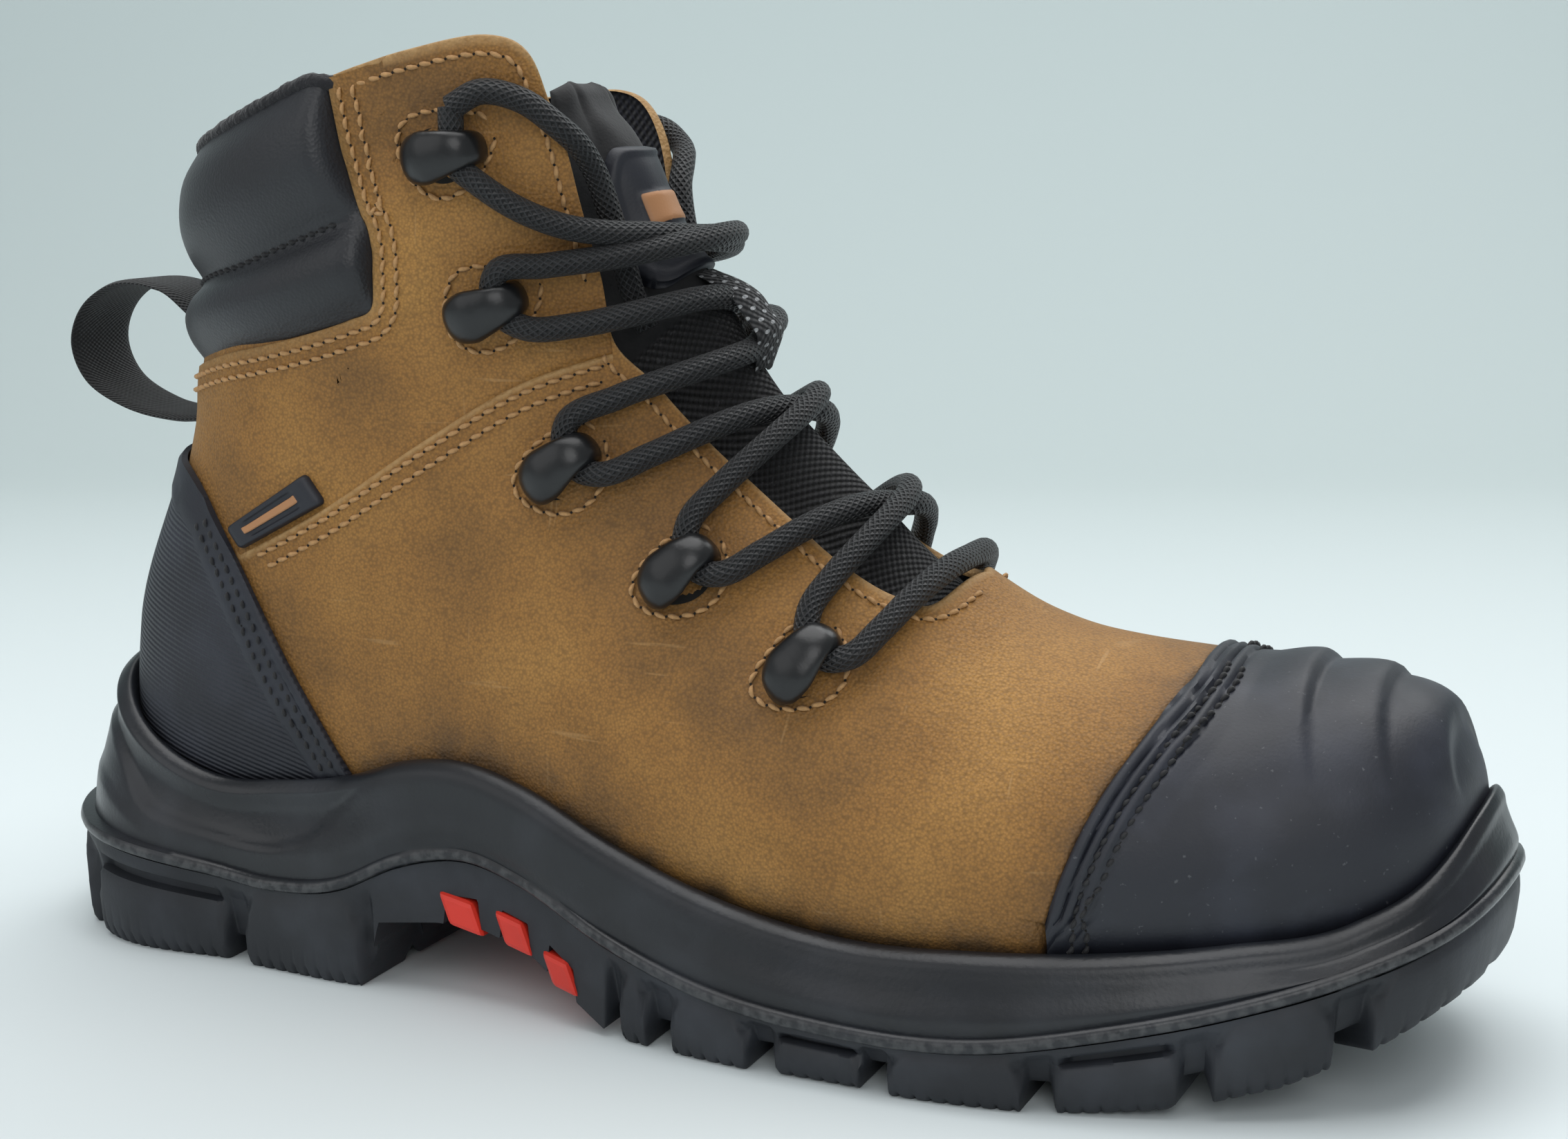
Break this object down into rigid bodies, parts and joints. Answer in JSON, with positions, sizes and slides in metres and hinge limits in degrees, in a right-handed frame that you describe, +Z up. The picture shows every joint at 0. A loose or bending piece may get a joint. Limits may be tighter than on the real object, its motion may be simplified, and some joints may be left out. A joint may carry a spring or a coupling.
{
  "type": "safety boot",
  "caption": "Ankle-high safety boot: hollow leather upper with padded collar, rubber toe cap and heel counter, laced throat and lugged cup sole, worn to protect the foot at work.",
  "frame": {"origin": "middle of the base of the boot, on the floor", "axes": "+X to the toe, -Y to the outer (lateral) side, +Z up"},
  "size_m": [0.3158, 0.109, 0.1919],
  "materials": {
    "leather": "matte, golden-brown nubuck with fine grain",
    "rubber": "matte black",
    "foam": "satin black moulded foam",
    "cap_rubber": "matte black, scuffed",
    "counter_rubber": "matte black with a fine rib",
    "padding": "soft satin black",
    "textile": "matte black mesh",
    "webbing": "woven black webbing",
    "plastic": "satin black",
    "accent": "red moulded plastic",
    "cord": "round black braid"
  },
  "bodies": {
    "root": {"outsole": "rubber", "arch_bar_1": "accent", "arch_bar_2": "accent", "arch_bar_3": "accent", "midsole": "foam", "insole": "textile", "upper": "leather", "tongue": "textile", "toe_cap": "cap_rubber", "heel_counter": "counter_rubber", "collar_pad": "padding", "pull_loop": "webbing", "side_tag": "counter_rubber", "tongue_patch": "counter_rubber", "lace_keeper": "webbing", "eyelet_lateral_1": "plastic", "eyelet_lateral_2": "plastic", "eyelet_lateral_3": "plastic", "eyelet_lateral_4": "plastic", "eyelet_lateral_5": "plastic", "eyelet_medial_1": "plastic", "eyelet_medial_2": "plastic", "eyelet_medial_3": "plastic", "eyelet_medial_4": "plastic", "eyelet_medial_5": "plastic", "lace_bar": "cord", "lace_cross_1": "cord", "lace_cross_2": "cord", "lace_cross_3": "cord", "lace_cross_4": "cord", "lace_end_lateral": "cord", "lace_end_medial": "cord"}
  },
  "joints": []
}
